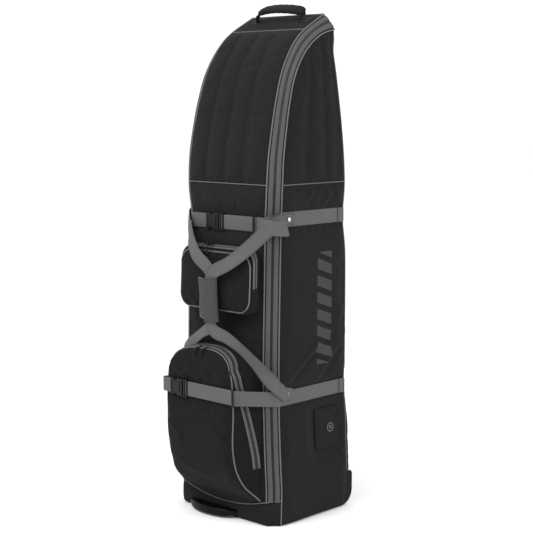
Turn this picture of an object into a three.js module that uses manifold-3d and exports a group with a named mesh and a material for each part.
// A wheeled travel case for golf clubs, standing upright.
// Millimetres. +Z is up, the front faces -Y and the right-hand side is +X.
// The origin is the centre of the base tray's flat underside.
import * as THREE from 'three';
import { mergeVertices } from 'three/addons/utils/BufferGeometryUtils.js';
import Module from 'manifold-3d';

const wasm = await Module();
wasm.setup();

// ---------------------------------------------------------------------------
// Driving dimensions
// ---------------------------------------------------------------------------

const GAP = 0.4; // clearance between neighbouring pieces
const WALL = 6; // padded fabric wall
const ZIP_BAND = 4; // thickness of the sewn zip bands
const CHAMFER = 27; // width of the front corner that carries the main zip, seen from the front
const REAR_CORNER = 16; // rear corner rounding
const HEM = 3; // bottom edge of the fabric
const BASE_SEAM = 70; // top of the band of fabric across the front of the base
const UPRIGHT = 100; // the sides stand upright up to this height, then lean in
const HOOD_SEAM = 873; // where the hood starts
const WEB = 38; // webbing width
const WEB_T = 2; // webbing thickness

// Half the case's width at each height: [z, half width]
const HALF_WIDTH = [
  [0, 180],
  [UPRIGHT, 180],
  [150, 176],
  [300, 167],
  [600, 164],
  [HOOD_SEAM, 168],
  [1000, 167.5],
  [1100, 164],
  [1220, 159],
  [1306, 155],
];

// The back of the case at each height: [z, y]
const REAR = [
  [0, 152],
  [450, 152],
  [884, 144],
  [1013, 134],
  [1149, 118],
  [1220, 107],
  [1306, 100],
];

// The front profile, seen from the side, from the base over the top of the hood. At each station, front is
// where the front panel meets the zip band and edge is where the zip band meets the side panel: [y, z].
const PROFILE = [
  { front: [-152, 0], edge: [-124, 0] },
  { front: [-149.3, 150], edge: [-121.3, 150] },
  { front: [-146.5, 300], edge: [-118.5, 300] },
  { front: [-141, 600], edge: [-113, 600] },
  { front: [-136, HOOD_SEAM], edge: [-108, HOOD_SEAM] },
  { front: [-131, 936], edge: [-104, 938] },
  { front: [-116, 1018], edge: [-93, 1010] },
  { front: [-95, 1098], edge: [-77, 1082] },
  { front: [-72, 1160], edge: [-58, 1140] },
  { front: [-45, 1205], edge: [-34, 1182] },
  { front: [-12, 1243], edge: [-4, 1216] },
  { front: [15, 1263], edge: [22, 1236] },
  { front: [58, 1287], edge: [60, 1255] },
  { front: [92, 1305], edge: [101, 1266], inward: [-0.6, -0.8] },
];
const SEAM_STATION = 4; // the hood seam
const TOP_STATION = 11; // where the quilted hood meets the plain top panel
const REAR_STATION = 13; // the rear top corner

// Buckled straps round the case
const UPPER_STRAP = { sideZ: 786, frontZ: 773, keeperX: 100, buckleX: -34, faceY: -137.6 };
const LOWER_STRAP = { sideZ: 328, frontZ: 347, keeperX: 129, buckleX: -61, faceY: -238 };
const STRAP_STANDOFF = 3.2; // room behind the webbing for the buckle's back bars
const SIDE_STANDOFF = 2; // middle of the webbing from the side panel
const BUCKLE = { female: 39, male: 24, height: 46, depth: 9, prong: 16, travel: 25 };

// Pockets on the front panel
const UPPER_POCKET = { x0: -112, x1: 122, topZ: 719, bottomZ: 545, depth: 50, flare: 16, zipEndZ: 614 };
const LOWER_POCKET_TOP = 452; // the zip's straight run over the pocket's arched top

// Wheels at the rear bottom corners
const WHEEL = { x: 147, y: 124, z: 37, r: 36, width: 24, hubR: 20, hubWidth: 28, axleR: 4 };
const HOUSING = { x0: 110, x1: 180, y0: 45, y1: 158, z0: 2, z1: 92, cheek: 21 };

// Carry handle across the front
const GRIP = { x: 19, y: -215, z0: 523, z1: 638, width: 48, depth: 15, slot: 42 };

// Handle on the top panel
const BASE_HANDLE = { x: -33, half: 90, reach: 42, slotHalf: 68, slotReach: 26, low: 3, high: 27 };
const TOP_HANDLE = { halfSpan: 74, rise: 36, y: 62 };

// Identification pocket on the right-hand side
const ID_POCKET = { y0: 13, y1: 102, z0: 172, z1: 280, tabY: 119, tabZ0: 186, tabZ1: 257 };

// ---------------------------------------------------------------------------
// Materials
// ---------------------------------------------------------------------------

const material = (color, roughness, metalness = 0) => new THREE.MeshStandardMaterial({ color, roughness, metalness });
const SHELL = material(0x2b2c2b, 0.9);
const WEBBING = material(0x5f6060, 0.85);
const TAPE = material(0x6b6c6c, 0.85);
const PADDING = material(0x252625, 0.95);
const PLASTIC = material(0x161616, 0.45);
const RUBBER = material(0x1c1c1c, 0.8);
const METAL = material(0xc4c6c8, 0.3, 1);
const STEEL = material(0x8d9094, 0.35, 1);

// ---------------------------------------------------------------------------
// Shape helpers
// ---------------------------------------------------------------------------

const travelCase = new THREE.Group();

function addNode(name, geometry, look) {
  const mesh = new THREE.Mesh(geometry, look);
  mesh.name = name;
  travelCase.add(mesh);
  return mesh;
}

// Straight-line lookup in a table of [key, value] rows
function lookUp(table, key) {
  let i = 1;
  while (i < table.length - 1 && table[i][0] < key) i += 1;
  const [k0, v0] = table[i - 1];
  const [k1, v1] = table[i];
  return v0 + ((v1 - v0) * (key - k0)) / (k1 - k0);
}

const halfWidth = (z) => lookUp(HALF_WIDTH, z);
const rearY = (z) => lookUp(REAR, z);
const frontY = (z) => lookUp(PROFILE.map((s) => [s.front[1], s.front[0]]), z);
const edgeY = (z) => lookUp(PROFILE.map((s) => [s.edge[1], s.edge[0]]), z);

// A closed solid through a row of closed sections with equal numbers of points
function loft(sections) {
  const count = sections[0].length;
  const positions = sections.flat().flatMap((p) => [p.x, p.y, p.z]);
  const triangles = [];
  for (let s = 0; s < sections.length - 1; s += 1) {
    for (let i = 0; i < count; i += 1) {
      const a = s * count + i;
      const b = s * count + ((i + 1) % count);
      triangles.push(a, b, b + count, a, b + count, a + count);
    }
  }
  const last = (sections.length - 1) * count;
  for (const [a, b, c] of capTriangles(sections[0])) triangles.push(a, c, b);
  for (const [a, b, c] of capTriangles(sections[sections.length - 1])) triangles.push(last + a, last + b, last + c);
  return facingOut(positions, triangles);
}

// Triangles over one section, in the plane that it fills best, wound the way the section runs
function capTriangles(section) {
  const normal = new THREE.Vector3();
  section.forEach((p, i) => normal.add(new THREE.Vector3().crossVectors(p, section[(i + 1) % section.length])));
  normal.normalize();
  const across = new THREE.Vector3().subVectors(section[1], section[0]);
  across.addScaledVector(normal, -across.dot(normal)).normalize();
  const up = new THREE.Vector3().crossVectors(normal, across);
  const flat = section.map((p) => new THREE.Vector2(p.dot(across), p.dot(up)));
  return THREE.ShapeUtils.triangulateShape(flat, []);
}

function facingOut(positions, triangles) {
  const corner = (i) => new THREE.Vector3().fromArray(positions, 3 * i);
  let volume = 0;
  for (let t = 0; t < triangles.length; t += 3) {
    const [a, b, c] = [corner(triangles[t]), corner(triangles[t + 1]), corner(triangles[t + 2])];
    volume += a.dot(b.cross(c));
  }
  if (volume < 0) triangles.reverse();
  const geometry = new THREE.BufferGeometry();
  geometry.setAttribute('position', new THREE.Float32BufferAttribute(positions, 3));
  geometry.setIndex(triangles);
  return geometry;
}

function toSolid(geometry) {
  const bare = geometry.clone();
  bare.deleteAttribute('normal');
  bare.deleteAttribute('uv');
  const merged = mergeVertices(bare, 1e-4);
  return new wasm.Manifold(
    new wasm.Mesh({
      numProp: 3,
      vertProperties: new Float32Array(merged.attributes.position.array),
      triVerts: new Uint32Array(merged.index.array),
    }),
  );
}

function fromSolid(solid) {
  const { vertProperties, triVerts } = solid.getMesh();
  const geometry = new THREE.BufferGeometry();
  geometry.setAttribute('position', new THREE.Float32BufferAttribute(vertProperties, 3));
  geometry.setIndex(Array.from(triVerts));
  return geometry;
}

const cut = (geometry, ...cutters) =>
  fromSolid(cutters.reduce((solid, cutter) => solid.subtract(toSolid(cutter)), toSolid(geometry)));
const join = (geometry, ...others) =>
  fromSolid(others.reduce((solid, other) => solid.add(toSolid(other)), toSolid(geometry)));

// A block between two opposite corners
function block([x0, y0, z0], [x1, y1, z1]) {
  return new THREE.BoxGeometry(x1 - x0, y1 - y0, z1 - z0).translate((x0 + x1) / 2, (y0 + y1) / 2, (z0 + z1) / 2);
}

// A bar along X with a round section
function rod(radius, x0, x1, y, z, sides = 24) {
  const length = x1 - x0;
  return new THREE.CylinderGeometry(radius, radius, length, sides).rotateZ(Math.PI / 2).translate((x0 + x1) / 2, y, z);
}

// A plan outline [[x, y], ...] raised from z0 to z1, with an optional hole
function raised(outline, z0, z1, hole) {
  const shape = new THREE.Shape(outline.map(([x, y]) => new THREE.Vector2(x, y)));
  if (hole) shape.holes.push(new THREE.Path(hole.map(([x, y]) => new THREE.Vector2(x, y))));
  return new THREE.ExtrudeGeometry(shape, { depth: z1 - z0, bevelEnabled: false }).translate(0, 0, z0);
}

// The left-hand half of an outline, from its right-hand half
const mirror = (points) => points.map(([x, y]) => [-x, y]).reverse();

// The outline of a thin strip that follows a centre line [[x, y], ...]
function stripOutline(path, thickness) {
  const points = path.map(([x, y]) => new THREE.Vector2(x, y));
  const sides = [[], []];
  points.forEach((p, i) => {
    const before = new THREE.Vector2().subVectors(p, points[Math.max(i - 1, 0)]).normalize();
    const after = new THREE.Vector2().subVectors(points[Math.min(i + 1, points.length - 1)], p).normalize();
    const along = before.clone().add(after).normalize();
    const normal = new THREE.Vector2(-along.y, along.x);
    const run = i > 0 ? before : after;
    const reach = thickness / 2 / Math.abs(run.x * along.x + run.y * along.y);
    sides[0].push([p.x + normal.x * reach, p.y + normal.y * reach]);
    sides[1].unshift([p.x - normal.x * reach, p.y - normal.y * reach]);
  });
  return [...sides[0], ...sides[1]];
}

// Moves every point of a geometry up or down by rise(x, y)
function drape(geometry, rise) {
  const position = geometry.attributes.position;
  for (let i = 0; i < position.count; i += 1) {
    position.setZ(i, position.getZ(i) + rise(position.getX(i), position.getY(i)));
  }
  return geometry;
}

// A rounded rectangle in the XZ plane: [[x, z], ...], anticlockwise
function roundedRect(x0, x1, z0, z1, radius, steps = 4) {
  const points = [];
  const corners = [
    [x1 - radius, z1 - radius, 0],
    [x0 + radius, z1 - radius, 1],
    [x0 + radius, z0 + radius, 2],
    [x1 - radius, z0 + radius, 3],
  ];
  for (const [cx, cz, quarter] of corners) {
    for (let i = 0; i <= steps; i += 1) {
      const angle = (Math.PI / 2) * (quarter + i / steps);
      points.push([cx + radius * Math.cos(angle), cz + radius * Math.sin(angle)]);
    }
  }
  return points;
}

// ---------------------------------------------------------------------------
// The padded shell: every panel is a slab between neighbouring seams
// ---------------------------------------------------------------------------

// A station part of the way between two neighbouring ones
function stationBetween(index, share) {
  const [a, b] = [PROFILE[index], PROFILE[index + 1]];
  const mix = (p, q) => p.map((value, i) => value + (q[i] - value) * share);
  return { front: mix(a.front, b.front), edge: mix(a.edge, b.edge) };
}

// The way into the case at a station, in the YZ plane
function inwardAt(station) {
  if (station.inward) return station.inward;
  const dy = station.edge[0] - station.front[0];
  const dz = station.edge[1] - station.front[1];
  const length = Math.hypot(dy, dz);
  return [dy / length, dz / length];
}

// A point on the chamfered corner: across runs from 0 at the front panel to 1 at the side panel
function cornerPoint(station, side, across, depth) {
  const [iy, iz] = inwardAt(station);
  const mitre = depth * Math.tan(Math.PI / 8);
  const frontHalf = halfWidth(station.front[1]) - CHAMFER;
  const edgeHalf = halfWidth(station.edge[1]);
  const front = [frontHalf - mitre, station.front[0] + iy * depth, station.front[1] + iz * depth];
  const edge = [edgeHalf - depth, station.edge[0] + iy * mitre, station.edge[1] + iz * mitre];
  const [x, y, z] = front.map((value, i) => value + (edge[i] - value) * across);
  return new THREE.Vector3(side * x, y, z);
}

const AT_FRONT = 0.015;
const AT_EDGE = 0.985;
const TEETH = 0.5; // the line of zip teeth, halfway across the corner
const TEETH_GAP = 0.03;

// The slab between the two zip bands, from one station to another
function middlePanel(stations, thickness) {
  const inset = new THREE.Vector3(GAP, 0, 0);
  return loft(
    stations.map((station) => [
      cornerPoint(station, -1, 0, 0).add(inset),
      cornerPoint(station, 1, 0, 0).sub(inset),
      cornerPoint(station, 1, 0, thickness).sub(inset),
      cornerPoint(station, -1, 0, thickness).add(inset),
    ]),
  );
}

function bandSection(station, side, from, to) {
  return [
    cornerPoint(station, side, from, 0),
    cornerPoint(station, side, to, 0),
    cornerPoint(station, side, to, ZIP_BAND),
    cornerPoint(station, side, from, ZIP_BAND),
  ];
}

// A stretch of zip band on one front corner
const cornerBand = (stations, side, from, to) => loft(stations.map((s) => bandSection(s, side, from, to)));

// A zip band up one corner of the hood, across the back of the top and down the other corner
function hoodBand(stations, from, to) {
  const up = stations.map((s) => bandSection(s, -1, from, to));
  const down = stations.map((s) => bandSection(s, 1, from, to)).reverse();
  return loft([...up, ...down]);
}

const justAbove = (station) => ({
  front: [station.front[0], station.front[1] + 2 * GAP],
  edge: [station.edge[0], station.edge[1] + 2 * GAP],
});
const justBelow = (station) => ({
  front: [station.front[0], station.front[1] - GAP],
  edge: [station.edge[0], station.edge[1] - GAP],
});
const atHeight = (z) => ({ front: [frontY(z), z], edge: [edgeY(z), z] });

const bodyStations = [
  atHeight(BASE_SEAM + GAP),
  atHeight(UPRIGHT),
  ...PROFILE.slice(1, SEAM_STATION),
  justBelow(PROFILE[SEAM_STATION]),
];
const hoodStations = [justAbove(PROFILE[SEAM_STATION]), ...PROFILE.slice(SEAM_STATION + 1)];

const housingClearance = (side) => {
  const { x0, x1, y0, y1, z0, z1 } = HOUSING;
  const xs = [side * (x0 - GAP), side * (x1 + 5)].sort((a, b) => a - b);
  return block([xs[0], y0 - GAP, z0 - 5], [xs[1], y1 + 10, z1 + GAP]);
};

function sidePanel(side) {
  const stations = [
    atHeight(HEM),
    atHeight(UPRIGHT),
    ...PROFILE.slice(1, REAR_STATION),
    stationBetween(REAR_STATION - 1, 0.45),
  ];
  const sections = stations.map((station) => {
    const [iy, iz] = inwardAt(station);
    const outer = cornerPoint(station, side, 1, 0);
    const inner = cornerPoint(station, side, 1, WALL);
    for (const p of [outer, inner]) p.add(new THREE.Vector3(0, iy * GAP, iz * GAP));
    const rearOuter = new THREE.Vector3(outer.x, rearY(outer.z) - REAR_CORNER, outer.z);
    const rearInner = new THREE.Vector3(inner.x, rearY(inner.z) - REAR_CORNER, inner.z);
    return [outer, rearOuter, rearInner, inner];
  });
  return cut(loft(sections), housingClearance(side));
}

function rearPanel() {
  const levels = [HEM, ...REAR.slice(1, -1).map(([z]) => z), 1253];
  const sections = levels.map((z) => {
    const half = halfWidth(z);
    const back = rearY(z);
    const start = back - REAR_CORNER + GAP;
    const outer = [
      [half, start],
      [half - REAR_CORNER / 3, back - REAR_CORNER / 3],
      [half - REAR_CORNER, back],
    ];
    const inner = [
      [half - REAR_CORNER, back - WALL],
      [half - WALL, start],
    ];
    const outline = [...outer, ...mirror(outer), ...mirror(inner), ...inner];
    return outline.map(([x, y]) => new THREE.Vector3(x, y, z));
  });
  return cut(loft(sections), housingClearance(-1), housingClearance(1));
}

addNode('front_panel', middlePanel(bodyStations, WALL), SHELL);
addNode('side_panel_left', sidePanel(-1), SHELL);
addNode('side_panel_right', sidePanel(1), SHELL);
addNode('rear_panel', rearPanel(), SHELL);
addNode('hood_panel', middlePanel([justAbove(PROFILE[SEAM_STATION]), ...PROFILE.slice(SEAM_STATION + 1, TOP_STATION + 1)], WALL), SHELL);
addNode('main_zip_lower_left', cornerBand(bodyStations, -1, AT_FRONT, AT_EDGE), TAPE);
addNode('main_zip_lower_right', cornerBand(bodyStations, 1, AT_FRONT, AT_EDGE), TAPE);
addNode('main_zip_hood_tape', hoodBand(hoodStations, AT_FRONT, TEETH - TEETH_GAP), TAPE);
addNode('main_zip_body_tape', hoodBand(hoodStations, TEETH + TEETH_GAP, AT_EDGE), TAPE);

// A soft pad lining the hood's crown, under the quilted panel
function hoodPad() {
  const thickness = 10;
  const stations = PROFILE.slice(SEAM_STATION + 3, REAR_STATION);
  const side = halfWidth(1200) - CHAMFER - 18;
  const sections = stations.map((station) => {
    const [iy, iz] = inwardAt(station);
    const point = (x, depth) => new THREE.Vector3(x, station.front[0] + iy * depth, station.front[1] + iz * depth);
    const near = WALL + GAP;
    return [point(-side, near), point(side, near), point(side, near + thickness), point(-side, near + thickness)];
  });
  return loft(sections);
}
addNode('hood_foam_pad', hoodPad(), PADDING);

// ---------------------------------------------------------------------------
// Top panel with its handle
// ---------------------------------------------------------------------------

// A frame on the sloping top: a point at x across, along the slope and height above the surface
const topStart = PROFILE[TOP_STATION].front;
const topEnd = PROFILE[REAR_STATION].front;
const slopeAngle = Math.atan2(topEnd[1] - topStart[1], topEnd[0] - topStart[0]);
function onTop(x, along, height) {
  const y = TOP_HANDLE.y + along * Math.cos(slopeAngle) - height * Math.sin(slopeAngle);
  const base = topStart[1] + (TOP_HANDLE.y - topStart[0]) * Math.tan(slopeAngle);
  return new THREE.Vector3(x, y, base + along * Math.sin(slopeAngle) + height * Math.cos(slopeAngle));
}

function topPanel() {
  const clear = (station) => ({ front: station.front.map((v, i) => v + [GAP, GAP / 2][i]), edge: station.edge });
  const stations = [clear(PROFILE[TOP_STATION]), PROFILE[TOP_STATION + 1], stationBetween(TOP_STATION + 1, 0.8)];
  const slab = middlePanel(stations, WALL);
  const patch = (x0, x1) => {
    const [sink, high] = [-3, 2];
    const section = (x) => [onTop(x, -15, sink), onTop(x, 15, sink), onTop(x, 15, high), onTop(x, -15, high)];
    return loft([section(x0), section(x1)]);
  };
  const inner = TOP_HANDLE.halfSpan + 4;
  return join(slab, patch(-inner - 26, -inner), patch(inner, inner + 34));
}
addNode('top_panel', topPanel(), SHELL);

// Half of the handle's arch, as [x, height above the panel, half the webbing's width]
const ARCH = [
  [0, 36, 14],
  [44, 34, 14],
  [56, 28, 13],
  [66, 18, 10],
  [TOP_HANDLE.halfSpan, 6, 4.5],
];
const archSide = (side) => ARCH.map(([x, height, half]) => [side * x, height, half]);

function topHandleStrap() {
  const stops = [...archSide(-1).reverse(), ...archSide(1).slice(1)];
  const sections = stops.map(([x, height, half], i) => {
    const [x0, h0] = stops[Math.max(i - 1, 0)];
    const [x1, h1] = stops[Math.min(i + 1, stops.length - 1)];
    const length = Math.hypot(x1 - x0, h1 - h0);
    const [nx, nh] = [(-(h1 - h0) / length) * 1.25, ((x1 - x0) / length) * 1.25];
    return [
      onTop(x - nx, -half, height - nh),
      onTop(x - nx, half, height - nh),
      onTop(x + nx, half, height + nh),
      onTop(x + nx, -half, height + nh),
    ];
  });
  return loft(sections);
}
addNode('top_handle_strap', topHandleStrap(), WEBBING);

// The padded sleeve round the middle of the strap: an outer skin with a slot through it
function topHandleGrip() {
  const reach = 46;
  const sleeve = (halfDepth, halfHeight, overhang) => {
    const stops = [-reach - overhang, -reach * 0.95, 0, reach * 0.95, reach + overhang];
    return loft(
      stops.map((x) => {
        const height = 36 - 3 * (x / reach) ** 2;
        return roundedRect(-halfDepth, halfDepth, -halfHeight, halfHeight, halfHeight * 0.8, 3).map(([a, h]) =>
          onTop(x, a, height + h),
        );
      }),
    );
  };
  return cut(sleeve(19, 6.5, 0), sleeve(14 + GAP, 3.6, 4));
}
addNode('top_handle_grip', topHandleGrip(), PADDING);

// The main zip's slider rests on the teeth behind the top panel, with its pull hanging down the back
const rearBand = (share, off) => {
  const [a, b] = [PROFILE[REAR_STATION].front, PROFILE[REAR_STATION].edge];
  const length = Math.hypot(b[0] - a[0], b[1] - a[1]);
  const out = [-(b[1] - a[1]) / length, (b[0] - a[0]) / length];
  return [a[0] + (b[0] - a[0]) * share + out[0] * off, a[1] + (b[1] - a[1]) * share + out[1] * off];
};
function mainSlider() {
  const corners = [rearBand(0.34, GAP), rearBand(0.62, GAP), rearBand(0.62, 5), rearBand(0.34, 5)];
  const x = 60;
  return loft([x, x + 14].map((at) => corners.map(([y, z]) => new THREE.Vector3(at, y, z))));
}
function mainPull() {
  const corners = [rearBand(0.56, 5.6), rearBand(1.25, 5.6), rearBand(1.25, 8.2), rearBand(0.56, 8.2)];
  return loft([64, 70].map((at) => corners.map(([y, z]) => new THREE.Vector3(at, y, z))));
}
addNode('main_slider', mainSlider(), PLASTIC);
addNode('main_slider_pull', mainPull(), PLASTIC);

// ---------------------------------------------------------------------------
// Base: tray, fabric band, grab handle, wheels
// ---------------------------------------------------------------------------

function trayOutline(inset) {
  const half = halfWidth(0) - WALL - GAP - inset;
  const front = PROFILE[0].front[0] + WALL + 1.5 + inset;
  const edge = PROFILE[0].edge[0] + WALL * 0.5 + inset * 0.5;
  const back = REAR[0][1] - WALL - GAP - inset;
  const notchX = HOUSING.x0 - GAP - inset;
  const notchY = HOUSING.y0 - GAP - inset;
  const right = [
    [notchX, back],
    [notchX, notchY],
    [half, notchY],
    [half, edge],
    [half - CHAMFER, front],
  ];
  return [...right, ...mirror(right)].reverse();
}

function baseTray() {
  const floor = raised(trayOutline(0), 0, 7);
  const rim = raised(trayOutline(0), 5, 34, trayOutline(4).reverse());
  return join(floor, rim);
}
addNode('base_tray', baseTray(), PLASTIC);

// The band goes across the front and round both front corners, to the side panels
function baseBand() {
  const mitre = WALL * Math.tan(Math.PI / 8);
  const sections = [HEM, BASE_SEAM].map((z) => {
    const half = halfWidth(z);
    const [front, edge] = [frontY(z), edgeY(z)];
    const outer = [
      [half, edge],
      [half - CHAMFER, front],
    ];
    const inner = [
      [half - CHAMFER - mitre, front + WALL],
      [half - WALL, edge + mitre],
    ];
    const outline = [...outer, ...mirror(outer), ...mirror(inner), ...inner];
    return outline.map(([x, y]) => new THREE.Vector3(x, y, z));
  });
  return loft(sections);
}
addNode('base_band', baseBand(), SHELL);

// The moulded grab handle in front of the base: a half ellipse with a finger slot
function baseHandle() {
  const back = PROFILE[0].front[0] - GAP;
  const { x, half, reach, slotHalf, slotReach, low, high } = BASE_HANDLE;
  const arc = (rx, ry, y) =>
    Array.from({ length: 17 }, (_, i) => [x - rx * Math.cos((Math.PI * i) / 16), y - ry * Math.sin((Math.PI * i) / 16)]);
  return raised(arc(half, reach, back), low, high, arc(slotHalf, slotReach, back - 6).reverse());
}
addNode('base_handle', baseHandle(), PLASTIC);

function wheelHousing(side) {
  const { x0, x1, y0, y1, z0, z1, cheek } = HOUSING;
  const corner = 40;
  const bevel = 6;
  const outline = new THREE.Shape();
  outline.moveTo(y0, z0);
  outline.lineTo(y1 - corner, z0);
  outline.absarc(y1 - corner, z0 + corner, corner, -Math.PI / 2, 0, false);
  outline.lineTo(y1, z1 - bevel);
  outline.lineTo(y1 - bevel, z1);
  outline.lineTo(y0 + bevel, z1);
  outline.lineTo(y0, z1 - bevel);
  // Drawn in YZ, then turned so that its depth runs along X
  const solid = new THREE.ExtrudeGeometry(outline, { depth: x1 - x0, bevelEnabled: false, curveSegments: 8 });
  solid.applyMatrix4(new THREE.Matrix4().set(0, 0, 1, x0, 1, 0, 0, 0, 0, 1, 0, 0, 0, 0, 0, 1));
  const [w0, w1] = [x0 + cheek, x1 - cheek + 4];
  const well = rod(WHEEL.r + 5, w0, w1, WHEEL.y, WHEEL.z, 40);
  const mouth = block([w0, WHEEL.y - WHEEL.r - 5, z0 - 5], [w1, y1 + 5, WHEEL.z]);
  const bore = rod(WHEEL.axleR + GAP, x0 - 5, x1 + 5, WHEEL.y, WHEEL.z);
  const shell = cut(solid, well, mouth, bore);
  return side > 0 ? shell : mirrored(shell);
}

// The same geometry on the other side of the case
function mirrored(geometry) {
  const copy = geometry.clone().scale(-1, 1, 1);
  copy.setIndex(Array.from(copy.index.array).reverse());
  return copy;
}

function ring(profile) {
  return new THREE.LatheGeometry(profile.map(([r, y]) => new THREE.Vector2(r, y)), 36).rotateZ(-Math.PI / 2);
}

function wheelTyre(side) {
  const { r, hubR, width } = WHEEL;
  const half = width / 2;
  const profile = [
    [hubR + GAP, -half],
    [r - 5, -half],
    [r - 1, -half * 0.55],
    [r, 0],
    [r - 1, half * 0.55],
    [r - 5, half],
    [hubR + GAP, half],
    [hubR + GAP, -half],
  ];
  return ring(profile).translate(side * WHEEL.x, WHEEL.y, WHEEL.z);
}

function wheelHub(side) {
  const { hubR, hubWidth, axleR, width } = WHEEL;
  const [boss, face] = [hubWidth / 2, width / 2 - 3];
  const profile = [
    [axleR + GAP, -boss],
    [9, -boss],
    [10, -face],
    [hubR, -face - 2],
    [hubR, face + 2],
    [10, face],
    [9, boss],
    [axleR + GAP, boss],
    [axleR + GAP, -boss],
  ];
  return ring(profile).translate(side * WHEEL.x, WHEEL.y, WHEEL.z);
}

for (const [name, side] of [['left', -1], ['right', 1]]) {
  const ends = [side * (HOUSING.x0 + 2), side * (HOUSING.x1 - 1)].sort((a, b) => a - b);
  addNode(`wheel_housing_${name}`, wheelHousing(side), PLASTIC);
  addNode(`wheel_tyre_${name}`, wheelTyre(side), RUBBER);
  addNode(`wheel_hub_${name}`, wheelHub(side), PLASTIC);
  addNode(`axle_${name}`, rod(WHEEL.axleR, ends[0], ends[1], WHEEL.y, WHEEL.z), STEEL);
}

// ---------------------------------------------------------------------------
// Front pockets
// ---------------------------------------------------------------------------

const onFront = (z) => frontY(z) - GAP;

// Depth sections of the upper pocket from the panel to its crowned face: [share of depth, inset, corner radius]
const UPPER_POCKET_SECTIONS = [
  [0, 0, 24],
  [0.5, 1, 26],
  [0.86, 5, 26],
  [1, 16, 22],
];
function upperPocketSection(share, inset, radius, grow = 0) {
  const { x0, x1, topZ, bottomZ, depth, flare } = UPPER_POCKET;
  const drop = 10 * share; // the top gusset slopes down towards the front
  const widen = flare * share - inset + grow;
  const outline = roundedRect(x0 - widen, x1 + widen, bottomZ + inset - grow, topZ - drop - inset + grow, radius + grow);
  return outline.map(([x, z]) => new THREE.Vector3(x, onFront(z) - share * depth, z));
}
addNode('upper_pocket', loft(UPPER_POCKET_SECTIONS.map(([s, i, r]) => upperPocketSection(s, i, r))), SHELL);

// The upper pocket's zip: an arch round the top and down both sides of the gusset
function upperPocketZip() {
  const band = (share) => {
    const edge = (grow) =>
      upperPocketSection(share, 1, 26, grow).filter((p) => p.z > 600).map((p) => p.clone());
    const outer = edge(GAP + WEB_T);
    const inner = edge(GAP).reverse();
    for (const line of [outer, inner]) {
      const ends = line === outer ? [line[0], line[line.length - 1]] : [line[line.length - 1], line[0]];
      const [right, left] = ends;
      const tails = [right, left].map((p) => new THREE.Vector3(p.x, onFront(UPPER_POCKET.zipEndZ) - share * UPPER_POCKET.depth, UPPER_POCKET.zipEndZ));
      if (line === outer) {
        line.unshift(tails[0]);
        line.push(tails[1]);
      } else {
        line.unshift(tails[1]);
        line.push(tails[0]);
      }
    }
    return [...outer, ...inner];
  };
  return loft([band(0.5), band(0.8)]);
}
addNode('upper_pocket_zip', upperPocketZip(), TAPE);

// Levels of the lower pocket: [z, half width at the panel, half width at the face, y of the face]
const LOWER_POCKET = [
  [74, 124, 108, -172],
  [105, 131, 114, -206],
  [150, 135, 117, -227],
  [200, 137, 120, -236],
  [300, 137, 121, LOWER_STRAP.faceY],
  [390, 133, 116, LOWER_STRAP.faceY],
  [422, 122, 104, -234],
  [440, 104, 88, -229],
  [450, 88, 76, -218],
  [462, 70, 60, -180],
];
function lowerPocket() {
  const sections = LOWER_POCKET.map(([z, back, face, y]) => {
    const rear = onFront(z);
    const depth = rear - y;
    const right = [
      [back, rear],
      [back - (back - face) * 0.45, rear - depth * 0.75],
      [face, y + Math.min(6, depth * 0.1)],
      [face - 12, y],
    ];
    const outline = [...right, ...mirror(right)];
    return outline.map(([x, v]) => new THREE.Vector3(x, v, z));
  });
  return loft(sections);
}

// The lower pocket's zip: an arch over the top and down both gussets, standing clear of the pocket
const LOWER_ZIP = { halfSpan: 137, top: LOWER_POCKET_TOP, radius: 66, endZ: 153, y0: -222, y1: -206 };
function archOutline(grow) {
  const { halfSpan, top, radius, endZ } = LOWER_ZIP;
  const steps = 6;
  const half = [[halfSpan + grow, endZ]];
  for (let i = 0; i <= steps; i += 1) {
    const angle = ((Math.PI / 2) * i) / steps;
    const reach = radius + grow;
    half.push([halfSpan - radius + reach * Math.cos(angle), top - radius + reach * Math.sin(angle)]);
  }
  return [...half, ...mirror(half)];
}
function lowerPocketZip() {
  const outline = [...archOutline(0), ...archOutline(-WEB_T).reverse()];
  return loft([LOWER_ZIP.y0, LOWER_ZIP.y1].map((y) => outline.map(([x, z]) => new THREE.Vector3(x, y, z))));
}
function lowerZipClearance() {
  const ys = [LOWER_ZIP.y0 - GAP, LOWER_ZIP.y1 + GAP];
  const outer = [[LOWER_ZIP.halfSpan + 30, LOWER_ZIP.endZ - GAP], [LOWER_ZIP.halfSpan + 30, LOWER_ZIP.top + 40]];
  const outline = [...outer, ...mirror(outer), ...archOutline(-WEB_T - GAP).reverse()];
  return loft(ys.map((y) => outline.map(([x, z]) => new THREE.Vector3(x, y, z))));
}
addNode('lower_pocket', cut(lowerPocket(), lowerZipClearance()), SHELL);
addNode('lower_pocket_zip', lowerPocketZip(), TAPE);

// Sliders, each with a bent pull that reaches over the pocket's edge and hangs in front of it
function pocketSliders(name, places, seatZ, back, faceY) {
  const front = back - 12;
  places.forEach((x, i) => {
    const arm = block([x - 3, faceY - 2, seatZ + 1], [x + 3, front - GAP, seatZ + 3]);
    const drop = block([x - 3, faceY - 2, seatZ - 22], [x + 3, faceY, seatZ + 2]);
    addNode(`${name}_slider_${i + 1}`, block([x - 4, front, seatZ + GAP], [x + 4, back, seatZ + 4.5]), PLASTIC);
    addNode(`${name}_pull_${i + 1}`, join(arm, drop), PLASTIC);
  });
}
const upperZipTop = UPPER_POCKET.topZ - 10 * 0.5 - 1 + GAP + WEB_T;
pocketSliders('upper_pocket', [-30, -16], upperZipTop, -168, -192);
pocketSliders('lower_pocket', [-19, 5], LOWER_ZIP.top, -208, -236);

// ---------------------------------------------------------------------------
// Buckled straps
// ---------------------------------------------------------------------------

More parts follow.
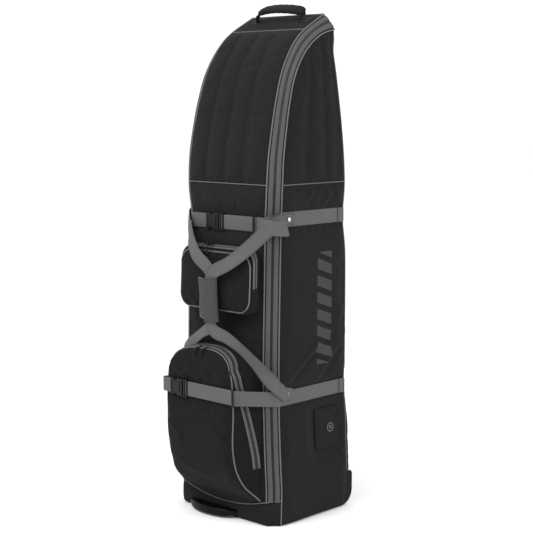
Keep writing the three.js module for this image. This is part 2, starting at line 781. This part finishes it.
// Height of a strap's middle: level on the front, sloping along the sides towards the back
function strapHeight(strap, y) {
  const front = strap.faceY - STRAP_STANDOFF;
  const share = (y - front) / (edgeY(strap.sideZ) - front);
  return THREE.MathUtils.lerp(strap.frontZ, strap.sideZ, THREE.MathUtils.clamp(share, 0, 1));
}

function strapSolid(path, strap) {
  const half = WEB / 2;
  return drape(raised(stripOutline(path, WEB_T), -half, half), (_, y) => strapHeight(strap, y));
}

// The webbing's centre line on one side of the case, from the rear seam to the front
function sideRun(strap, side) {
  const half = halfWidth(strap.sideZ) + SIDE_STANDOFF;
  const y = strap.faceY - STRAP_STANDOFF - WEB_T / 2;
  const cornerX = strap === UPPER_STRAP ? half - CHAMFER : 137;
  return [
    [side * half, rearY(strap.sideZ) - REAR_CORNER - 2],
    [side * half, edgeY(strap.sideZ) - 1],
    [side * cornerX, y],
  ];
}

for (const [name, strap] of [['upper', UPPER_STRAP], ['lower', LOWER_STRAP]]) {
  const y = strap.faceY - STRAP_STANDOFF - WEB_T / 2;
  const layer = WEB_T + GAP;
  // The left strap ends in the fixed half of the buckle
  const leftEnd = [strap.buckleX - BUCKLE.female - 1, y];
  addNode(`${name}_strap_left`, strapSolid([...sideRun(strap, -1), leftEnd], strap), WEBBING);
  // The right strap threads the ladder and doubles back through the keeper
  const turn = [
    [strap.buckleX + 8, y],
    [strap.buckleX + 8, y - layer],
    [strap.keeperX + 8, y - layer],
  ];
  addNode(`${name}_strap_right`, strapSolid([...sideRun(strap, 1), ...turn], strap), WEBBING);
}

// The buckle's socket half, hollow and open behind where the prongs enter
function buckleSocket(strap) {
  const x1 = strap.buckleX;
  const x0 = x1 - BUCKLE.female;
  const back = strap.faceY - 1.2;
  const [z0, z1] = [strap.frontZ - BUCKLE.height / 2, strap.frontZ + BUCKLE.height / 2];
  const body = block([x0, back - BUCKLE.depth, z0], [x1, back, z1]);
  const hollow = block([x0 + 14, back - BUCKLE.depth + 2, z0 + 3], [x1 + 1, back + 1, z1 - 3]);
  const window = block([x0 + 16, back - BUCKLE.depth / 2 - 2.5, z0 - 1], [x0 + 28, back - BUCKLE.depth / 2 + 2.5, z1 + 1]);
  return cut(body, hollow, window);
}

// The buckle's prong half: a ladder frame round the webbing, with two prongs
function bucklePlug(strap) {
  const x0 = strap.buckleX + 0.8;
  const x1 = x0 + BUCKLE.male;
  const back = strap.faceY - 1.2;
  const front = back - BUCKLE.depth - 1;
  const [z0, z1] = [strap.frontZ - BUCKLE.height / 2, strap.frontZ + BUCKLE.height / 2];
  const frame = block([x0, front, z0], [x1, back, z1]);
  const webY = strap.faceY - STRAP_STANDOFF;
  const slot = block([x0 - 1, webY - 2 * WEB_T - 2 * GAP, z0 + 3], [x1 + 1, webY + GAP, z1 - 3]);
  const throat = block([x0 + 8, front - 1, z0 + 3], [x0 + 17, webY, z1 - 3]);
  const prong = (za, zb) => block([x0 - BUCKLE.prong, webY + GAP, za], [x0 + 2, back, zb]);
  return join(cut(frame, slot, throat), prong(z0 + 4, z0 + 11), prong(z1 - 11, z1 - 4));
}

// A loop that holds the strap's tail
function strapKeeper(strap) {
  const webY = strap.faceY - STRAP_STANDOFF;
  const outer = block([strap.keeperX - 3.5, webY - 2 * WEB_T - 4, strap.frontZ - 23], [strap.keeperX + 3.5, webY + 2.2, strap.frontZ + 23]);
  const inner = block(
    [strap.keeperX - 5, webY - 2 * WEB_T - 2 * GAP, strap.frontZ - 20],
    [strap.keeperX + 5, webY + GAP, strap.frontZ + 20],
  );
  return cut(outer, inner);
}

for (const [name, strap] of [['upper', UPPER_STRAP], ['lower', LOWER_STRAP]]) {
  addNode(`${name}_buckle_socket`, buckleSocket(strap), PLASTIC);
  addNode(`${name}_buckle_plug`, bucklePlug(strap), PLASTIC);
  addNode(`${name}_strap_keeper`, strapKeeper(strap), PLASTIC);
}

// ---------------------------------------------------------------------------
// Carry handle: two webbing straps joined by a wrap grip across the front
// ---------------------------------------------------------------------------

// Centre line of a strap with the direction of its width: [[x, y, z], [across x, y, z]]
const endX = halfWidth(UPPER_STRAP.sideZ) + SIDE_STANDOFF + WEB_T + GAP + 0.8;
const lowEndX = halfWidth(LOWER_STRAP.sideZ) + SIDE_STANDOFF + WEB_T + GAP + 0.8;
const RIGHT_HANDLE = [
  [[endX, -62, 786], [0, 0, 1]],
  [[endX, -100, 785], [0, 0, 1]],
  [[172, -140, 779], [-0.1, 0, 1]],
  [[163, -176, 760], [-0.35, -0.2, 0.9]],
  [[136, -203, 722], [-0.6, -0.2, 0.75]],
  [[86, -214, 680], [-0.75, 0, 0.6]],
  [[34, -218, 660], [-0.95, 0, 0.3]],
  ...gripRun(-1.8, -1),
  [[32, -218, 500], [-0.95, 0, -0.3]],
  [[76, -219, 488], [-0.7, 0, -0.7]],
  [[120, -214, 466], [-0.6, 0, -0.75]],
  [[150, -186, 420], [-0.45, 0.1, -0.8]],
  [[171, -150, 374], [-0.2, 0, -0.95]],
  [[lowEndX + 1, -108, 348], [0, 0, -1]],
  [[lowEndX, -76, 338], [0, 0, -1]],
];
const LEFT_HANDLE = [
  [[-endX, -62, 786], [0, 0, 1]],
  [[-endX, -100, 785], [0, 0, 1]],
  [[-170, -133, 781], [0.1, 0, 1]],
  [[-150, -157, 770], [0.35, -0.2, 0.9]],
  [[-108, -184, 742], [0.6, -0.15, 0.75]],
  [[-44, -210, 694], [0.85, 0, 0.4]],
  [[6, -213, 664], [0.97, 0, 0.2]],
  ...gripRun(1.8, 1),
  [[4, -211, 503], [0.9, 0, -0.4]],
  [[-30, -204, 495], [0.7, -0.25, -0.6]],
  [[-72, -190, 486], [0.6, -0.4, -0.6]],
  [[-126, -167, 455], [0.5, -0.2, -0.8]],
  [[-168, -136, 410], [0.25, 0.1, -0.95]],
  [[-lowEndX - 1, -108, 370], [0, 0, -1]],
  [[-lowEndX, -76, 338], [0, 0, -1]],
];

// The straight run through the grip, in front of or behind the other strap
function gripRun(offset, facing) {
  const { x, y, z0, z1 } = GRIP;
  return [z1 + 4, z1 - 8, z0 + 8, z0 - 4].map((z) => [[x, y + offset, z], [facing, 0, 0]]);
}

function webbingAlong(stops) {
  const centre = new THREE.CatmullRomCurve3(stops.map(([p]) => new THREE.Vector3(...p)), false, 'centripetal');
  const steps = 3 * (stops.length - 1);
  const sections = [];
  for (let i = 0; i <= steps; i += 1) {
    const t = i / steps;
    const p = centre.getPoint(t);
    const tangent = centre.getTangent(t);
    const across = new THREE.Vector3(...lerpStops(stops, t));
    across.addScaledVector(tangent, -across.dot(tangent)).normalize();
    const normal = new THREE.Vector3().crossVectors(tangent, across).multiplyScalar(WEB_T / 2);
    const reach = across.multiplyScalar(WEB / 2 - 1);
    sections.push([
      p.clone().add(reach).add(normal),
      p.clone().sub(reach).add(normal),
      p.clone().sub(reach).sub(normal),
      p.clone().add(reach).sub(normal),
    ]);
  }
  return loft(sections);
}
function lerpStops(stops, t) {
  const at = t * (stops.length - 1);
  const i = Math.min(Math.floor(at), stops.length - 2);
  return stops[i][1].map((value, axis) => value + (stops[i + 1][1][axis] - value) * (at - i));
}
addNode('carry_strap_right', webbingAlong(RIGHT_HANDLE), WEBBING);
addNode('carry_strap_left', webbingAlong(LEFT_HANDLE), WEBBING);

function carryGrip() {
  const { x, y, z0, z1, width, depth, slot } = GRIP;
  const tube = (w, d, radius, low, high) => {
    const outline = roundedRect(x - w / 2, x + w / 2, y - d / 2, y + d / 2, radius, 3);
    return raised(outline, low, high);
  };
  return cut(tube(width, depth, 6, z0, z1), tube(slot, 8, 1, z0 - 5, z1 + 5));
}
addNode('carry_grip', carryGrip(), PADDING);

// Rivets through the ends of the carry straps
function rivet(side, x, y, z) {
  const [low, high] = [side * (x + 2.2), side * (x + 4.4)].sort((a, b) => a - b);
  return rod(5, low, high, y, z, 20);
}
for (const [name, side] of [['left', -1], ['right', 1]]) {
  addNode(`upper_rivet_${name}`, rivet(side, endX, -80, 786), METAL);
  addNode(`lower_rivet_${name}`, rivet(side, lowEndX, -86, 340), METAL);
}

// ---------------------------------------------------------------------------
// Identification pocket, and the straps inside
// ---------------------------------------------------------------------------

// A slab standing on the right-hand side panel, between two distances from it
function onRightSide(y0, y1, z0, z1, near, far) {
  const corners = (z) => [
    [near, y0],
    [near, y1],
    [far, y1],
    [far, y0],
  ].map(([off, y]) => new THREE.Vector3(halfWidth(z) + off, y, z));
  return loft([corners(z0), corners(z1)]);
}
addNode('id_pocket', onRightSide(ID_POCKET.y0 + 4, ID_POCKET.y1 - 4, ID_POCKET.z0 + 4, ID_POCKET.z1 - 4, GAP, 1.8), PADDING);
addNode(
  'id_flap',
  join(
    onRightSide(ID_POCKET.y0, ID_POCKET.y1, ID_POCKET.z0, ID_POCKET.z1, 2.4, 5),
    onRightSide(ID_POCKET.y1 - 2, ID_POCKET.tabY, ID_POCKET.tabZ0, ID_POCKET.tabZ1, 2.8, 4.6),
  ),
  PADDING,
);

for (const [name, side] of [['left', -1], ['right', 1]]) {
  const x = halfWidth(650) - WALL - 1.5;
  const xs = [side * x, side * (x - WEB_T)].sort((a, b) => a - b);
  addNode(`inner_strap_${name}`, block([xs[0], -90, 631], [xs[1], 110, 631 + WEB]), WEBBING);
}

export default travelCase;
